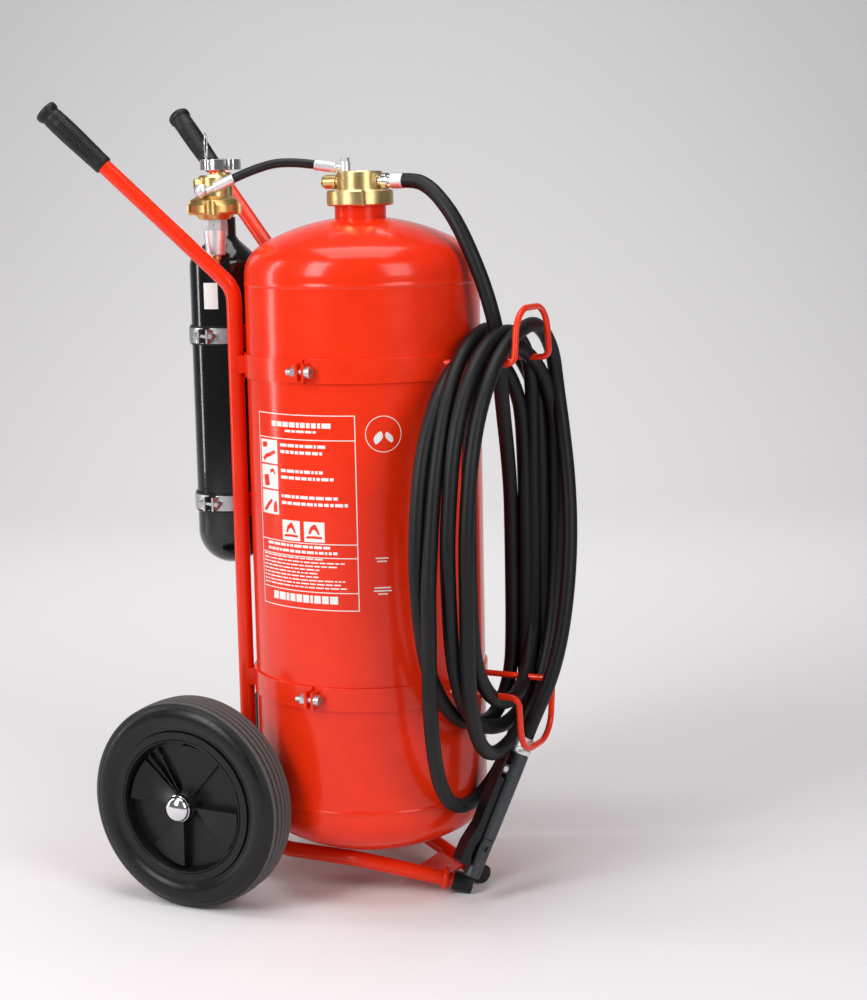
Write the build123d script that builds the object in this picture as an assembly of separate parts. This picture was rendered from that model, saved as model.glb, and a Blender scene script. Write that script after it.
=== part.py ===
from build123d import *

import os
from math import asin, cos, degrees, radians, sin, sqrt, tan

# Wheeled 50 litre foam fire extinguisher with an outside gas cylinder.
#
# Millimetres, +Z up, X along the axle, the foot and the coiled hose towards -Y,
# the handles and the gas cylinder towards +Y.  The model is laid out about the
# tank's axis, then moved along Y so that its origin is the middle of its base.
ORIGIN_Y = -71.0  # the tank axis in the finished frame

# Tank
TANK_R = 150.0
TANK_WALL = 2.5
CROWN_R = 260.0
KNUCKLE_R = 44.0
TANK_BOTTOM = 46.0
TANK_TOP = 869.0
NECK_R = 32.8
NECK_BORE = 26.0
NECK_BASE = 861.0
NECK_TOP = 888.0

# Head on the tank's neck
SEAL_TOP = NECK_TOP + 2.0
HEAD_FLANGE = 6.0
HEAD_R = 29.0
HEAD_TOP = 925.5
PORT_Z = 912.5
RING_NUT = (882.0, 902.0)
RING_NUT_R = 42.5
SPANNER_SLOT_ANGLE = 214.0

# Bands round the tank
BAND_R = 153.0
BAND_HEIGHT = 30.0
BAND_Z = (275.5, 684.5)
BAND_GAP = 6.0
EAR = (16.0, 3.5, 22.0)

# Bent frame tubes
TUBE_R = 10.0
TUBE_WALL = 2.0
TUBE_X = 75.5
TUBE_Y = 145.5
HANDLE_BEND_Z = 781.0
HANDLE_END = (153.0, 367.0, 1007.0)
FOOT_Z = 45.0
FOOT_BEND_Y = -15.0
FOOT_END = (19.0, -148.0, 11.6)
GRIP_LENGTH = 104.0
CAP_R = 13.0
CAP_LENGTH = 26.0

# Axle and wheels
AXLE_R = 8.0
AXLE_Y = 160.0
WHEEL_R = 135.0
WHEEL_WIDTH = 58.0
WHEEL_OUT = 222.0
WHEEL_IN = WHEEL_OUT - WHEEL_WIDTH
RIM_R = 97.0
DISH_R = 83.0
HUB_R = 18.0
BUSH_R = 12.0
RUNNING_GAP = 0.05

# Gas cylinder, its valve and its regulator
GAS_Y = 206.0
GAS_R = 45.5
GAS_WALL = 3.0
GAS_BOTTOM = 410.0
GAS_NECK_TOP = 870.0
GAS_BAR_Z = (496.0, 717.0)
REGULATOR_AT = (-57.0, 182.0)
VALVE_TOP = 928.0
HANDWHEEL = (931.0, 944.5)
HANDWHEEL_R = 27.0
SPINDLE_R = 4.0
PIN_AT = (-8.3, GAS_Y + 16.7)

# Gas hose from the valve to the head
GAS_HOSE_R = 5.8
BANJO_AT = (-12.0, 14.0)
BANJO_Z = 934.0
BALL_RUN = 184.0
BALL_Z = 904.5

# Hose hooks
HOOK_X = 54.0
HOOK_Y = -235.0
HOOK_ROD = 4.0
HOOK_Z = (275.0, 690.0)
HOOK_TIP_Z = (202.0, 756.0)

# Discharge hose, its coil and its lance
HOSE_R = 9.5
COIL_Y = (-154.5, -229.5)
LANCE_TOP = Vector(6, -218, 208)
LANCE_MOUTH = Vector(-59, -168, 37)
LANCE_R = 12.4
FERRULE_LENGTH = 22.0
SLEEVE_LENGTH = 52.0
LEVER_SIDE = 30.0
LEVER_HALF_WIDTH = 10.0

UP = (0, 0, 1)
nodes = {}


# Small helpers

def rod(radius, length, at, along=UP):
    """A round bar that starts at a point and runs along a direction."""
    bar = Cylinder(radius, length, align=(Align.CENTER, Align.CENTER, Align.MIN))
    return Plane(origin=at, z_dir=along).location * bar


def pipe(outer, inner, length, at, along=UP):
    """A round bar with a round bore."""
    return rod(outer, length, at, along) - rod(inner, length, at, along)


def turned(profile, at=(0, 0, 0), along=UP):
    """A closed outline of radius and height, turned about an axis."""
    face = Plane.XZ * make_face(Polyline(*profile, close=True))
    return Plane(origin=at, z_dir=along).location * revolve(face, Axis.Z)


def prism(sketch, height, at, along=UP):
    """A flat outline raised along a direction."""
    return Plane(origin=at, z_dir=along).location * extrude(sketch, height)


def swept(path, radius):
    """A round bar along a path."""
    section = Plane(origin=path @ 0, z_dir=path % 0) * Circle(radius)
    return sweep(section, path=path)


def largest_arcs(points):
    """The radius at each corner: 0.45 of the shorter run over the tangent of half the turn."""
    corners = [Vector(*point) for point in points]
    radii = []
    for before, corner, after in zip(corners, corners[1:], corners[2:]):
        run_in = corner - before
        run_out = after - corner
        half_turn = radians(run_in.get_angle(run_out)) / 2
        radii.append(0.45 * min(run_in.length, run_out.length) / tan(half_turn))
    return radii


def laid(name, points):
    """A hose's path, with its radii, length and runs printed."""
    radii = largest_arcs(points)
    path = FilletPolyline(*points, radius=radii)
    print(name, "radii", [round(radius) for radius in radii], "length", round(path.length, 1))
    return path


def mirrored(shape):
    """The same shape on the other side of the YZ plane."""
    return mirror(shape, Plane.YZ)


def solids(*shapes):
    """Separate solids kept apart in one node."""
    parts = []
    for shape in shapes:
        parts.extend(shape.solids())
    return Compound(children=parts)


# Tank

def head_arc(radius_cut, inset):
    """Points of a dished end from a cut radius out to the tank's wall, measured from its crown."""
    crown = CROWN_R - inset
    knuckle = KNUCKLE_R - inset
    knuckle_at = TANK_R - KNUCKLE_R
    drop = sqrt((CROWN_R - KNUCKLE_R) ** 2 - knuckle_at**2)
    meet = degrees(asin(knuckle_at / (CROWN_R - KNUCKLE_R)))
    start = degrees(asin(radius_cut / crown))

    def on_crown(angle):
        return crown * sin(radians(angle)), CROWN_R - crown * cos(radians(angle))

    def on_knuckle(angle):
        return knuckle_at + knuckle * sin(radians(angle)), CROWN_R - drop - knuckle * cos(radians(angle))

    first = ThreePointArc(on_crown(start), on_crown((start + meet) / 2), on_crown(meet))
    second = ThreePointArc(on_crown(meet), on_knuckle((meet + 90) / 2), on_knuckle(90))
    return first, second


def tank_outline(inset, neck_cut):
    """The tank's half section: a dished bottom, a straight wall and a dished top with a hole."""
    lower = [Pos(0, TANK_BOTTOM) * arc for arc in head_arc(0, inset)]
    upper = [Pos(0, TANK_TOP) * mirror(arc, Plane.XZ) for arc in head_arc(neck_cut, inset)]
    wall = Line(lower[1] @ 1, upper[1] @ 1)
    rim = upper[0] @ 0
    foot = lower[0] @ 0
    back = Polyline(rim, (0, rim.Y), foot)
    return make_face(lower + upper + [wall] + back.edges())


def tank():
    outer = revolve(Plane.XZ * tank_outline(0, NECK_R), Axis.Z)
    inner = revolve(Plane.XZ * tank_outline(TANK_WALL, NECK_R), Axis.Z)
    mouth = rod(NECK_R, 40, (0, 0, TANK_TOP - 30))
    nodes["tank_shell"] = outer - inner - mouth
    nodes["tank_neck"] = pipe(NECK_R, NECK_BORE, NECK_TOP - NECK_BASE, (0, 0, NECK_BASE))
    nodes["neck_seal"] = pipe(NECK_R - 1, NECK_BORE, SEAL_TOP - NECK_TOP, (0, 0, NECK_TOP))


def ring_nut():
    low, high = RING_NUT
    lip = SEAL_TOP + HEAD_FLANGE
    bevel = 2.0
    nut = turned([
        (NECK_R + 0.2, low), (RING_NUT_R - bevel, low), (RING_NUT_R, low + bevel),
        (RING_NUT_R, high - bevel), (RING_NUT_R - bevel, high), (HEAD_R + 0.2, high),
        (HEAD_R + 0.2, lip), (NECK_R + 0.2, lip),
    ])
    slot = Pos(RING_NUT_R, 0, (low + high) / 2) * Box(11, 5, high - low + 2)
    for quarter in range(4):
        nut -= Rot(0, 0, SPANNER_SLOT_ANGLE + 90 * quarter) * slot
    nodes["ring_nut"] = nut


def head():
    flange_top = SEAL_TOP + HEAD_FLANGE
    body = turned([
        (0, SEAL_TOP), (NECK_R - 0.5, SEAL_TOP), (NECK_R - 0.5, flange_top), (HEAD_R, flange_top),
        (HEAD_R, HEAD_TOP - 1.5), (HEAD_R - 1.5, HEAD_TOP), (0, HEAD_TOP),
    ])
    tube_socket = rod(9, PORT_Z - SEAL_TOP + 5, (0, 0, SEAL_TOP))
    outlet_port = rod(7, HEAD_R + 1, (0, 0, PORT_Z), (0, -1, 0))
    relief_port = rod(3.5, HEAD_R + 1, (0, 0, PORT_Z), (0, 1, 0))
    gas_port = rod(3, 12, (*BANJO_AT, HEAD_TOP - 11))
    nodes["head_body"] = body - tube_socket - outlet_port - relief_port - gas_port
    nodes["dip_tube"] = pipe(9, 7, PORT_Z - 8 - 66, (0, 0, 66))

    # The safety relief valve screws into the +Y side of the head.
    nodes["relief_body"] = turned([
        (3.5, 0), (7, 0), (7, 3), (9.3, 3), (9.3, 19), (7.5, 23), (4, 24.5), (2.6, 24.5), (2.6, 21),
        (6.05, 21), (6.05, 6), (3.5, 6),
    ], (0, HEAD_R, PORT_Z), (0, 1, 0))
    nodes["relief_poppet"] = turned([
        (0, 6), (6, 6), (6, 9), (2.5, 9), (2.5, 26.5), (0, 26.5),
    ], (0, HEAD_R, PORT_Z), (0, 1, 0))
    nodes["relief_spring"] = relief_spring(HEAD_R + 9, HEAD_R + 21)

    # The hose screws on to the -Y side of the head.
    nodes["outlet_fitting"] = turned([
        (6.5, 0), (7.5, 0), (7.5, 3), (10.2, 5), (10.2, 11), (8.4, 13), (8.4, 17), (6.5, 17),
    ], (0, -HEAD_R, PORT_Z), (0, -1, 0))
    nodes["outlet_ferrule"] = turned([
        (6.5, 17), (9, 17), (10, 18), (10, 32.5), (9, 34), (6.5, 34),
    ], (0, -HEAD_R, PORT_Z), (0, -1, 0))


def relief_spring(start, end):
    """A closed coil spring round the poppet's stem, with a turn each 3 mm."""
    wire = 0.7
    coil_radius = 4.3
    pitch = 3.0
    helix = Helix(pitch, end - start - 2 * wire, coil_radius)
    section = Plane(origin=helix @ 0, z_dir=helix % 0) * Circle(wire)
    coil = sweep(section, path=helix, is_frenet=True)
    return Plane(origin=(0, start + wire, PORT_Z), z_dir=(0, 1, 0)).location * coil


# Bands and frame

def bands():
    fasteners = []
    for name, height in zip(("lower_band", "upper_band"), BAND_Z):
        ring = pipe(BAND_R, TANK_R, BAND_HEIGHT, (0, 0, height - BAND_HEIGHT / 2))
        ear_length, ear_thick, ear_height = EAR
        ear_at = BAND_R - 1 + ear_length / 2
        for side in (-1, 1):
            ear_y = side * (BAND_GAP + ear_thick) / 2
            ring += Pos(-ear_at, ear_y, height) * Box(ear_length, ear_thick, ear_height)
        split = Pos(-TANK_R, 0, height) * Box(60, BAND_GAP, BAND_HEIGHT + 2)
        bolt_x = -(BAND_R + EAR[0] / 2)
        grip = BAND_GAP + 2 * ear_thick
        hole = rod(4.05, grip + 4, (bolt_x, -grip / 2 - 2, height), (0, 1, 0))
        bore = rod(TANK_R, BAND_HEIGHT, (0, 0, height - BAND_HEIGHT / 2))
        nodes[name] = ring - split - hole - bore

        shank = rod(4, grip + 14, (bolt_x, -grip / 2, height), (0, 1, 0))
        head_end = rod(7.5, 7, (bolt_x, -grip / 2 - 7, height), (0, 1, 0))
        socket = prism(RegularPolygon(3.4, 6), 4, (bolt_x, -grip / 2 - 3, height), (0, -1, 0))
        fasteners.append(shank + head_end - socket)
        nut = prism(RegularPolygon(7.4, 6), 6.5, (bolt_x, grip / 2, height), (0, 1, 0))
        fasteners.append(nut - rod(4.02, 8, (bolt_x, grip / 2 - 1, height), (0, 1, 0)))
    nodes["band_bolts"] = solids(*fasteners)


def frame_path():
    """The centre line of the -X frame tube, from the handle's end to the front foot."""
    handle_x, handle_y, handle_z = HANDLE_END
    foot_x, foot_y, foot_z = FOOT_END
    points = [
        (-handle_x, handle_y, handle_z),
        (-TUBE_X, TUBE_Y, HANDLE_BEND_Z),
        (-TUBE_X, TUBE_Y, FOOT_Z),
        (-TUBE_X, FOOT_BEND_Y, FOOT_Z),
        (-foot_x, foot_y, foot_z),
    ]
    return FilletPolyline(*points, radius=[38, 62, 70])


def axle_bar():
    reach = WHEEL_OUT + 6
    return rod(AXLE_R, 2 * reach, (-reach, AXLE_Y, WHEEL_R), (1, 0, 0))


def frame():
    path = frame_path()
    outer = swept(path, TUBE_R)
    tube = outer - swept(path, TUBE_R - TUBE_WALL) - axle_bar()
    nodes["frame_tube_left"] = tube
    nodes["frame_tube_right"] = mirrored(tube)
    nodes["axle"] = axle_bar()

    grip, cap = grip_and_cap(path)
    nodes["grip_left"] = grip
    nodes["grip_right"] = mirrored(grip)
    nodes["foot_caps"] = solids(cap, mirrored(cap))

    pads = []
    toward_tube = Vector(-TUBE_X, TUBE_Y, 0).normalized()
    for height in BAND_Z:
        centre = toward_tube * (BAND_R + 3)
        place = Plane(origin=(centre.X, centre.Y, height), x_dir=toward_tube, z_dir=UP).location
        pad = place * Box(12, 26, 22) - outer - rod(BAND_R, 60, (0, 0, height - 30))
        pads.append(max(pad.solids(), key=lambda solid: solid.volume))
    nodes["tube_brackets"] = solids(*pads, *[mirrored(pad) for pad in pads])

    both = [outer, mirrored(outer)]
    bars = []
    for height in GAS_BAR_Z:
        bar = Pos(0, TUBE_Y + TUBE_R - 0.25, height) * Box(2 * TUBE_X, 3.5, 30)
        for side_tube in both:
            bar -= side_tube
        bars.append(max(bar.solids(), key=lambda solid: solid.volume))
    nodes["cylinder_bars"] = solids(*bars)

    plate = Pos(0, -99, 24) * (Rot(14, 0, 0) * Box(86, 40, 4))
    for side_tube in both:
        plate -= side_tube
    nodes["foot_plate"] = max(plate.solids(), key=lambda solid: abs(solid.center().X) < 5)
    nodes["foot_loop"] = foot_loop(path)


def grip_and_cap(path):
    """A flared rubber grip on the handle's end and a rubber cap on the foot's end."""
    end = path @ 0
    inward = path % 0
    gap = 0.05
    grip_start = end - inward * 4
    grip = turned([
        (0, 0), (14, 0), (15.5, 2), (15.5, 8), (13.4, 16), (12.8, 60), (12.6, GRIP_LENGTH - 3),
        (11.6, GRIP_LENGTH), (TUBE_R + gap, GRIP_LENGTH), (TUBE_R + gap, 4), (0, 4),
    ], grip_start, inward)
    foot = path @ 1
    outward = path % 1
    cap_start = foot + outward * 3 - outward * CAP_LENGTH
    cap = turned([
        (TUBE_R + gap, 0), (CAP_R, 0), (CAP_R, CAP_LENGTH - 2), (CAP_R - 2, CAP_LENGTH),
        (0, CAP_LENGTH), (0, CAP_LENGTH - 3), (TUBE_R + gap, CAP_LENGTH - 3),
    ], cap_start, outward)
    ground = Pos(0, 0, -20) * Box(400, 600, 40)
    return grip, cap - ground


def foot_loop(path):
    """A bent rod that goes over the -X foot tube, as a catch for the lance's lever."""
    rod_radius = 3.5
    foot = path @ 1
    back = path % 1
    centre = foot - back * 33
    side = Vector(-1, 0, 0)
    side = (side - back * side.dot(back)).normalized()
    above = side.cross(back).normalized()
    if above.Z < 0:
        above = above * -1
    reach = TUBE_R + rod_radius + 0.1

    def at(angle):
        return centre + (side * cos(radians(angle)) + above * sin(radians(angle))) * reach

    return swept(ThreePointArc(at(-35), at(60), at(155)), rod_radius)


def hooks():
    """Two bent rods, the upper one turned up and the lower one turned down."""
    lean = 9.0
    for name, arm_z, tip_z in zip(("hook_lower", "hook_upper"), HOOK_Z, HOOK_TIP_Z):
        start_y = -sqrt(BAND_R**2 - HOOK_X**2) + 8
        points = [
            (-HOOK_X, start_y, arm_z), (-HOOK_X, HOOK_Y, arm_z), (-HOOK_X + lean, HOOK_Y, tip_z),
            (HOOK_X - lean, HOOK_Y, tip_z), (HOOK_X, HOOK_Y, arm_z), (HOOK_X, start_y, arm_z),
        ]
        hook = swept(FilletPolyline(*points, radius=[11, 36, 36, 11]), HOOK_ROD)
        nodes[name] = hook - rod(BAND_R, 60, (0, 0, arm_z - 30))


# Wheels

def wheel():
    """The -X wheel: a solid tyre, a dished rim with four blades, and a bush."""
    outside = (-WHEEL_OUT, AXLE_Y, WHEEL_R)
    along = (1, 0, 0)
    groove = 3.0
    shoulder = 3.0
    tread = [(WHEEL_R - 7, 0), (WHEEL_R - shoulder, 4)]
    pitch = (WHEEL_WIDTH - 8) / 5
    for step in range(5):
        start = 4 + pitch * step
        tread.append((WHEEL_R - (shoulder if step == 0 else 0), start))
        tread.append((WHEEL_R, start + pitch - 2.4))
        if step < 4:
            tread.append((WHEEL_R - groove, start + pitch - 2.0))
            tread.append((WHEEL_R - groove, start + pitch - 0.4))
    tread += [(WHEEL_R - shoulder, WHEEL_WIDTH - 4), (WHEEL_R - 7, WHEEL_WIDTH)]
    seat = [(RIM_R, WHEEL_WIDTH), (RIM_R, 0)]
    tyre = turned(distinct(tread + seat), outside, along)

    web_low, web_high = 18.0, 26.0
    rim = turned([
        (RIM_R - 0.05, 1.5), (RIM_R - 0.05, WHEEL_WIDTH - 1.5), (DISH_R + 2, WHEEL_WIDTH - 1.5),
        (DISH_R, web_high), (HUB_R, web_high), (HUB_R, WHEEL_WIDTH), (BUSH_R, WHEEL_WIDTH),
        (BUSH_R, 0), (HUB_R - 4, 0), (HUB_R, 6), (HUB_R, web_low), (DISH_R, web_low), (DISH_R + 4, 1.5),
    ], outside, along)
    blade = make_face(Polyline((HUB_R - 2, 0), (DISH_R - 3, 0), (DISH_R - 22, 50), close=True))
    for quarter in range(4):
        raised = prism(Rot(0, 0, 90 * quarter + 12) * blade, web_low - 8, outside, along)
        rim += Pos(8.5, 0, 0) * raised
    bush = pipe(BUSH_R - 0.05, AXLE_R + RUNNING_GAP, WHEEL_WIDTH, outside, along)
    return tyre, rim - rod(BUSH_R, WHEEL_WIDTH, outside, along), bush


def distinct(points):
    """The same outline without repeated points."""
    kept = []
    for point in points:
        if not kept or abs(point[0] - kept[-1][0]) + abs(point[1] - kept[-1][1]) > 0.01:
            kept.append(point)
    return kept


def wheels():
    for name, piece in zip(("tyre", "rim", "bush"), wheel()):
        nodes[name + "_left"] = piece
        nodes[name + "_right"] = mirrored(piece)
    inner = pipe(16, AXLE_R, 3, (-WHEEL_IN + 0.5, AXLE_Y, WHEEL_R), (1, 0, 0))
    outer = pipe(14, AXLE_R, 2, (-WHEEL_OUT - 2.5, AXLE_Y, WHEEL_R), (1, 0, 0))
    nodes["axle_washers"] = solids(inner, outer, mirrored(inner), mirrored(outer))
    cap = turned([
        (AXLE_R, 0), (17.5, 0), (17.5, 3), (15, 8), (10, 11.3), (0, 13), (0, 3.55), (AXLE_R, 3.55),
    ], (-WHEEL_OUT - 2.5, AXLE_Y, WHEEL_R), (-1, 0, 0))
    nodes["axle_caps"] = solids(cap, mirrored(cap))


# Gas cylinder, valve and regulator

def gas_cylinder():
    shoulder = [(GAS_R, 812), (43.5, 824), (38, 832), (28, 839), (19, 843), (17, 847)]
    dish = [(GAS_R * sin(radians(a)), GAS_BOTTOM + GAS_R * (1 - cos(radians(a)))) for a in range(15, 91, 15)]
    outside = [(0, GAS_BOTTOM), *dish, *shoulder, (17, GAS_NECK_TOP)]
    inner_r = GAS_R - GAS_WALL
    inner_dish = [
        (inner_r * sin(radians(a)), GAS_BOTTOM + GAS_WALL + inner_r * (1 - cos(radians(a))))
        for a in range(90, 0, -15)
    ]
    inside = [(8, GAS_NECK_TOP), (8, 838), (24, 835), (35, 828), (inner_r, 812), *inner_dish]
    bottom = (0, GAS_BOTTOM + GAS_WALL)
    nodes["cylinder_shell"] = turned([*outside, *inside, bottom], (0, GAS_Y, 0))

    clamps = []
    liners = []
    bolts = []
    for height in GAS_BAR_Z:
        liner = pipe(GAS_R + 1.9, GAS_R + 0.1, 25, (0, GAS_Y, height - 12.5))
        band = pipe(GAS_R + 3.5, GAS_R + 2.0, 20, (0, GAS_Y, height - 10))
        ears = Pos(-GAS_R - 8.5, GAS_Y, height) * (Box(12, 16, 18) - Box(13, 10, 19))
        split = Pos(-GAS_R - 3, GAS_Y, height) * Box(12, 10, 30)
        bolt_at = (-GAS_R - 9.5, GAS_Y - 15, height)
        hole = rod(2.6, 40, (-GAS_R - 9.5, GAS_Y - 20, height), (0, 1, 0))
        saddle = Pos(0, TUBE_Y + TUBE_R + 2.5, height) * Box(24, 2, 20)
        ring = band + ears - split - hole + (saddle - rod(GAS_R + 3, 40, (0, GAS_Y, height - 20)))
        clamps.append(ring - rod(GAS_R + 2.0, 40, (0, GAS_Y, height - 20)))
        liners.append(liner)
        shank = rod(2.5, 31, bolt_at, (0, 1, 0))
        nut = prism(RegularPolygon(5, 6), 6, (-GAS_R - 9.5, GAS_Y - 14, height), (0, 1, 0))
        end = prism(RegularPolygon(5, 6), 5, (-GAS_R - 9.5, GAS_Y + 8, height), (0, 1, 0))
        bolts.append(shank + nut + end)
    nodes["cylinder_clamps"] = solids(*clamps)
    nodes["clamp_liners"] = solids(*liners)
    nodes["clamp_bolts"] = solids(*bolts)


def gas_valve():
    reg_x, reg_y = REGULATOR_AT
    arm = Vector(reg_x, reg_y - GAS_Y, 0)
    body = rod(15, VALVE_TOP - GAS_NECK_TOP - 2, (0, GAS_Y, GAS_NECK_TOP))
    body += rod(12.5, 2, (0, GAS_Y, VALVE_TOP - 2))
    middle = Plane(origin=(reg_x / 2, (reg_y + GAS_Y) / 2, 910), x_dir=arm.normalized(), z_dir=UP).location
    body += middle * Box(arm.length, 21, 21)
    body += turned([(0, 897.5), (19.5, 897.5), (19.5, 921), (17, 924), (0, 924)], (reg_x, reg_y, 0))
    boss = Vector(-0.7, 0.71, 0)
    body += rod(7, 25, (reg_x, reg_y, 913), boss)
    body -= rod(4.2, 6, Vector(reg_x, reg_y, 913) + boss * 20, boss)
    body += rod(5.2, 27, (reg_x, reg_y, BALL_Z), (-1, 0, 0))
    body -= rod(SPINDLE_R + RUNNING_GAP, 60, (0, GAS_Y, 880))
    body -= rod(6.55, 26, (0, GAS_Y, 874))
    body -= rod(3, 20, (0, GAS_Y, 860))
    nodes["valve_body"] = body - ball_joint()

    nodes["valve_plug"] = turned([
        (0, 876), (6.5, 876), (6.5, 892), (4.1, 892), (4.1, 881), (0, 881),
    ], (0, GAS_Y, 0))
    nodes["valve_spindle"] = rod(SPINDLE_R, HANDWHEEL[1] - 886 + 1.5, (0, GAS_Y, 886))
    low, high = HANDWHEEL
    wheel_face = Circle(HANDWHEEL_R)
    for lobe in range(5):
        wheel_face -= Rot(0, 0, 72 * lobe + 20) * (Pos(HANDWHEEL_R + 4.5, 0) * Circle(8.5))
    rim = prism(wheel_face - Circle(SPINDLE_R + 0.02), high - low, (0, GAS_Y, low))
    rim -= pipe(20, 9, 5, (0, GAS_Y, high - 5))
    nodes["handwheel"] = rim - rod(1.55, 60, (*PIN_AT, 910))

    nut_low, nut_high = 868.0, 897.5
    nut_face = Circle(35)
    for lobe in range(5):
        nut_face -= Rot(0, 0, 72 * lobe + 60) * (Pos(38.5, 0) * Circle(9))
    blank = prism(nut_face, nut_high - nut_low, (reg_x, reg_y, nut_low))
    envelope = turned([
        (0, nut_low), (20, nut_low), (24, 874), (33, 874), (35, 877), (35, 886), (30, 893), (22, 897.5),
        (0, 897.5),
    ], (reg_x, reg_y, 0))
    nodes["union_nut"] = (blank & envelope) - rod(11.95, 40, (reg_x, reg_y, 865))
    regulator = rod(11.9, 29.5, (reg_x, reg_y, 868))
    regulator += prism(RegularPolygon(13.4, 6, major_radius=False), 14, (reg_x, reg_y, 854))
    regulator += turned([(0, 822), (11.5, 822), (12.5, 823.5), (15, 854), (0, 854)], (reg_x, reg_y, 0))
    vent = rod(1.4, 5, (reg_x - 14.5, reg_y - 7, 861), (0.9, 0.44, 0))
    nodes["regulator_body"] = regulator - vent - rod(5, 40, (reg_x, reg_y, 857.5))
    nodes["regulator_vent"] = turned([
        (0, 809), (3.5, 809), (5, 810.5), (5, 815.5), (6.8, 816.5), (6.8, 822), (0, 822),
    ], (reg_x, reg_y, 0))

    pin_low, pin_high = low + 0.6, high + 5
    ring_r = 15.5
    ring_axis = (0.4437, -0.896, 0)
    place = Plane(origin=(*PIN_AT, pin_high - 1.4 + ring_r), z_dir=ring_axis).location
    ring = place * Torus(ring_r, 0.9)
    eye = Pos(*PIN_AT, pin_high) * Sphere(2.6)
    nodes["safety_pin"] = rod(1.5, pin_high - pin_low, (*PIN_AT, pin_low)) + eye - ring
    nodes["pin_ring"] = ring


# Gas hose

def hose_plane():
    """The start and the level direction of the gas hose's vertical plane."""
    start = Vector(*BANJO_AT, 0)
    reg_x, reg_y = REGULATOR_AT
    level = (Vector(reg_x - 31, reg_y, 0) - start).normalized()
    return start, level


def on_hose(run, height):
    start, level = hose_plane()
    return start + level * run + Vector(0, 0, height)


def ball_joint():
    """The round banjo on the valve's side port."""
    centre = on_hose(BALL_RUN, BALL_Z)
    return Pos(centre.X, centre.Y, centre.Z) * Sphere(8.8)


def gas_hose():
    route = [(39, 934.5), (72, 939.5), (110, 933), (142, 919)]
    points = [tuple(on_hose(run, height)) for run, height in route]
    path = laid("gas_hose", points)
    nodes["gas_hose"] = swept(path, GAS_HOSE_R)

    bolt_x, bolt_y = BANJO_AT
    bolt = rod(4.9, 14, (bolt_x, bolt_y, HEAD_TOP))
    bolt += prism(RegularPolygon(5.8, 6), 5, (bolt_x, bolt_y, HEAD_TOP + 12))
    bolt += rod(2.95, 10, (bolt_x, bolt_y, HEAD_TOP - 9.5))
    bolt += pipe(6.6, 3, 12, (bolt_x, bolt_y, HEAD_TOP))
    nodes["gas_banjo_bolt"] = bolt

    def ferrule(face, toward, neck_length, target):
        outline = [(0, 0), (6.3, 0), (6.9, 1), (6.9, 26), (5.8, 28), (4, 28), (4, 28 + neck_length)]
        return turned([*outline, (0, 28 + neck_length)], face, toward) - target

    head_end = ferrule(path @ 0, (path % 0) * -1, 9, bolt)
    ball = ball_joint()
    valve_end = ferrule(path @ 1, path % 1, 14, ball)
    longest = [max(end.solids(), key=lambda solid: solid.volume) for end in (head_end, valve_end)]
    nodes["gas_ferrules"] = solids(*longest, ball)


# Discharge hose and lance

def coil():
    outer_points = [
        (138, 745), (138, 310), (72, 224), (-42, 222), (-80, 150), (-150, 150), (-178, 200), (-178, 745),
    ]
    inner_points = [
        (94, 698), (94, 320), (66, 264), (-60, 264), (-95, 196), (-134, 215), (-134, 698),
    ]
    outer = make_face(Polyline(*outer_points, close=True))
    outer = fillet(outer.vertices().group_by(Axis.Y)[-1], 90)
    inner = make_face(Polyline(*inner_points, close=True))
    inner = fillet(inner.vertices().group_by(Axis.Y)[-1], 34)
    near, far = COIL_Y
    nodes["hose_coil"] = extrude(Plane.XZ.offset(-near) * (outer - inner), near - far)


def hose():
    lead = [
        (0, -HEAD_R - 34, PORT_Z), (0, -80, PORT_Z), (-3, -98, 905), (-8, -117, 890), (-14, -140, 864),
        (-17, -163, 822), (-14, -182, 772), (-5, -192, 718),
    ]
    nodes["hose_lead"] = swept(laid("hose_lead", lead), HOSE_R)

    axis = (LANCE_MOUTH - LANCE_TOP).normalized()
    above = LANCE_TOP - axis * 26
    tail = [
        (116, -219, 650), (112, -229, 590), (105, -239, 525), (88, -248, 455), (66, -252, 385),
        (47, -249, 322), (28, -241, 274), tuple(above), tuple(LANCE_TOP),
    ]
    nodes["hose_tail"] = swept(laid("hose_tail", tail), HOSE_R)
    coil()


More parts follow.
